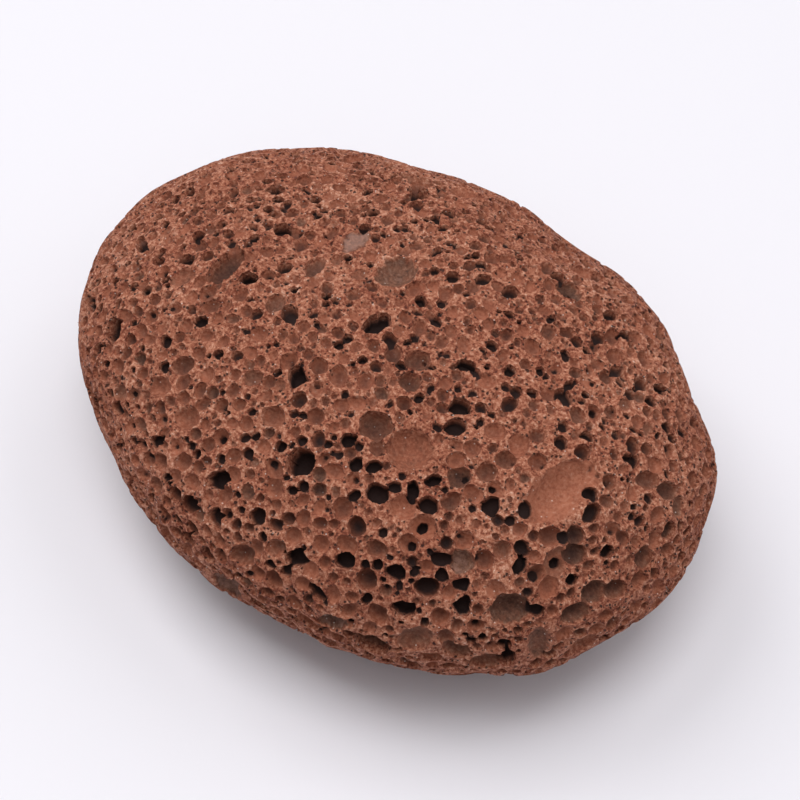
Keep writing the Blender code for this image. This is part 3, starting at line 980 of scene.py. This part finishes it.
    def mix(
        self,
        tree: bpy.types.NodeTree,
        share: bpy.types.NodeSocket | float,
        first: Any,
        second: Any,
        blend: str = "MIX",
    ) -> bpy.types.NodeSocket:
        """Two colours mixed.

        Args:
            tree: The material's node tree.
            share: How much of the second colour there is.
            first: A colour or a colour's socket.
            second: A colour or a colour's socket.
            blend: How they are mixed.

        Returns:
            The mixed colour.
        """
        inputs = {0: share, 6: first, 7: second}
        return node(tree, "Mix", inputs, data_type="RGBA", blend_type=blend).outputs[2]

    def noise(
        self, tree: bpy.types.NodeTree, place: bpy.types.NodeSocket, size: float, detail: float
    ) -> bpy.types.NodeSocket:
        """Cloudy noise.

        Args:
            tree: The material's node tree.
            place: Where, in millimetres.
            size: Millimetres from one cloud to the next.
            detail: How many finer layers are added.

        Returns:
            A value round one half.
        """
        inputs = {"Vector": place, "Scale": 1 / size, "Detail": detail, "Roughness": 0.65}
        return node(tree, "TexNoise", inputs).outputs["Fac"]

    def rind(
        self, tree: bpy.types.NodeTree, place: bpy.types.NodeSocket
    ) -> tuple[bpy.types.NodeSocket, bpy.types.NodeSocket]:
        """The gritty rind between the bubbles.

        Args:
            tree: The material's node tree.
            place: Where, in millimetres.

        Returns:
            Its colour and the height of its grit.
        """
        grit = self.noise(tree, place, self.crumb_size, 3.0)
        patches = self.noise(tree, place, self.patch_size, 2.0)
        cells = node(tree, "TexVoronoi", {"Vector": place, "Scale": 1.6 / self.crumb_size})
        crumb = node(tree, "SeparateColor", {0: cells.outputs["Color"]}).outputs[0]
        crumb = self.ranged(tree, crumb, (0.0, 1.0), (-0.06, 0.06))
        patch = self.ranged(tree, patches, (0.3, 0.7), (-0.05, 0.05))
        tone = node(tree, "Math", {0: grit, 1: crumb}, operation="ADD").outputs[0]
        tone = node(tree, "Math", {0: tone, 1: patch}, operation="ADD").outputs[0]
        colour = node(tree, "ValToRGB", {"Fac": tone}, stops=self.crumbs).outputs["Color"]
        return colour, tone

    def lining(
        self, tree: bpy.types.NodeTree, place: bpy.types.NodeSocket
    ) -> bpy.types.NodeSocket:
        """The smooth inside of the bubbles, each with a shade of its own.

        Args:
            tree: The material's node tree.
            place: Where, in millimetres.

        Returns:
            Its colour.
        """
        shade = node(tree, "Attribute", attribute_name="shade").outputs["Fac"]
        mottle = self.noise(tree, place, self.mottle_size, 4.0)
        mottle = self.ranged(tree, mottle, (0.3, 0.7), (-self.mottling, self.mottling))
        shade = node(tree, "Math", {0: shade, 1: mottle}, operation="ADD").outputs[0]
        return node(tree, "ValToRGB", {"Fac": shade}, stops=self.linings).outputs["Color"]

    def specks(
        self, tree: bpy.types.NodeTree, place: bpy.types.NodeSocket
    ) -> tuple[bpy.types.NodeSocket, bpy.types.NodeSocket]:
        """Painted shade of pinholes, and pale crystals, both dots round scattered points.

        Args:
            tree: The material's node tree.
            place: Where, in millimetres.

        Returns:
            Where the painted shade of the pinholes is and where the crystals are, from 0 to 1.
        """
        uneven = self.noise(tree, place, 0.4, 1.0)
        uneven = self.ranged(tree, uneven, (0.3, 0.7), (-0.14, 0.14))
        holes = node(tree, "TexVoronoi", {"Vector": place, "Scale": 1 / self.pinhole_spacing})
        apart = node(
            tree, "Math", {0: holes.outputs["Distance"], 1: uneven}, operation="ADD"
        ).outputs[0]
        shaded_pinhole = self.ranged(tree, apart, self.pinhole_edge, (0.9, 0.0))
        grains = node(tree, "TexVoronoi", {"Vector": place, "Scale": 1 / self.crystal_spacing})
        crystal = self.ranged(tree, grains.outputs["Distance"], self.crystal_edge, (0.6, 0.0))
        return shaded_pinhole, crystal


@dataclass(frozen=True)
class TableFinish:
    """Matt white laminate, as sprayed: even, with hardly any sheen."""

    colour: str = "#e9e7ed"
    roughness: float = 0.6

    def material(self) -> bpy.types.Material:
        """Make the material."""
        material = bpy.data.materials.new("matt_white_laminate")
        material.use_nodes = True
        shader = material.node_tree.nodes["Principled BSDF"]
        shader.inputs["Base Color"].default_value = hex_colour(self.colour)
        shader.inputs["Roughness"].default_value = self.roughness
        return material


# ---------------------------------------------------------------- the studio


def toward(azimuth: float, elevation: float) -> Vector:
    """Unit vector from the stone towards a place round it.

    Args:
        azimuth: Degrees, 0 on the -Y side and 90 on the +X side.
        elevation: Degrees above the horizon.

    Returns:
        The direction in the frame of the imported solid.
    """
    turn, rise = math.radians(azimuth), math.radians(elevation)
    return Vector(
        (math.sin(turn) * math.cos(rise), -math.cos(turn) * math.cos(rise), math.sin(rise))
    )


@dataclass(frozen=True)
class SoftLight:
    """One square soft box.

    Attributes:
        name: What a photographer would call it.
        azimuth: Where it stands, as toward gives it.
        elevation: How high it stands.
        power: Watts.
        size: Metres along each edge.
        distance: Metres from the stone.
    """

    name: str
    azimuth: float
    elevation: float
    power: float
    size: float = 1.4
    distance: float = 1.6

    def hang(self, target: Vector) -> None:
        """Hang the light, facing the target.

        Args:
            target: The point it faces, in metres.
        """
        lamp = bpy.data.lights.new(self.name, "AREA")
        lamp.shape, lamp.size, lamp.energy = "SQUARE", self.size, self.power
        placed = bpy.data.objects.new(self.name, lamp)
        back = toward(self.azimuth, self.elevation)
        placed.location = target + back * self.distance
        placed.rotation_euler = (-back).to_track_quat("-Z", "Y").to_euler()
        bpy.context.scene.collection.objects.link(placed)


@dataclass(frozen=True)
class Studio:
    """A white table, soft light from behind and above, and the camera.

    Attributes:
        sheet: The camera faces the middle of this sheet from its eye.
        lens: Focal length on a 36 mm sensor.
        table: Metres along each edge of the table.
        ambient: Brightness of the light from all round.
        walls: Colour of that light.
    """

    sheet: Sheet = Sheet()
    lens: float = 85.0
    table: float = 6.0
    ambient: float = 0.12
    walls: str = "#f6f4fa"
    lights: tuple[SoftLight, ...] = (
        SoftLight("top_box", 0.0, 90.0, 10.5, 0.8),
        SoftLight("back_left_box", 265.0, 50.0, 10.5, 1.0),
        SoftLight("back_right_box", 170.0, 50.0, 5.0, 1.0),
        SoftLight("right_box", 120.0, 40.0, 4.6),
        SoftLight("left_box", 310.0, 50.0, 3.2),
        SoftLight("front_box", 37.0, 55.0, 3.4),
    )

    def set_up(self, skin: WornSkin) -> None:
        """Build the table, the lights and the camera.

        Args:
            skin: The stone's skin, whose heart the camera is placed from.
        """
        target = (Vector(skin.heart) + Vector(self.sheet.middle)) * MM
        self.lay_table()
        for light in self.lights:
            light.hang(target)
        world = bpy.data.worlds.new("studio_walls")
        world.use_nodes = True
        background = world.node_tree.nodes["Background"]
        background.inputs["Color"].default_value = hex_colour(self.walls)
        background.inputs["Strength"].default_value = self.ambient
        bpy.context.scene.world = world
        lens = bpy.data.cameras.new("camera")
        lens.lens, lens.sensor_width, lens.clip_start = self.lens, 36.0, 0.01
        camera = bpy.data.objects.new("camera", lens)
        back = Vector(self.sheet.back())
        camera.location = target + back * self.sheet.distance * MM
        camera.rotation_euler = (-back).to_track_quat("-Z", "Y").to_euler()
        bpy.context.scene.collection.objects.link(camera)
        bpy.context.scene.camera = camera
        bpy.context.scene.view_settings.view_transform = "Standard"

    def lay_table(self) -> None:
        """Lay the table top level with the underside of the stone."""
        half = self.table / 2
        corners = [(-half, -half, 0), (half, -half, 0), (half, half, 0), (-half, half, 0)]
        mesh = bpy.data.meshes.new("table_top")
        mesh.from_pydata(corners, [], [(0, 1, 2, 3)])
        mesh.materials.append(TableFinish().material())
        table = bpy.data.objects.new("table_top", mesh)
        bpy.context.scene.collection.objects.link(table)


def main() -> None:
    """Build and dress the stone, then set up the studio."""
    logging.basicConfig(level=logging.INFO, format="%(name)s: %(message)s")
    stone = PumiceStone()
    piece = stone.build()
    stone.dress(piece)
    LOG.info("%s has %d triangles", piece.name, len(piece.data.polygons))
    Studio().set_up(stone.skin)
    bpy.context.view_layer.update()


if __name__ == "__main__":
    main()
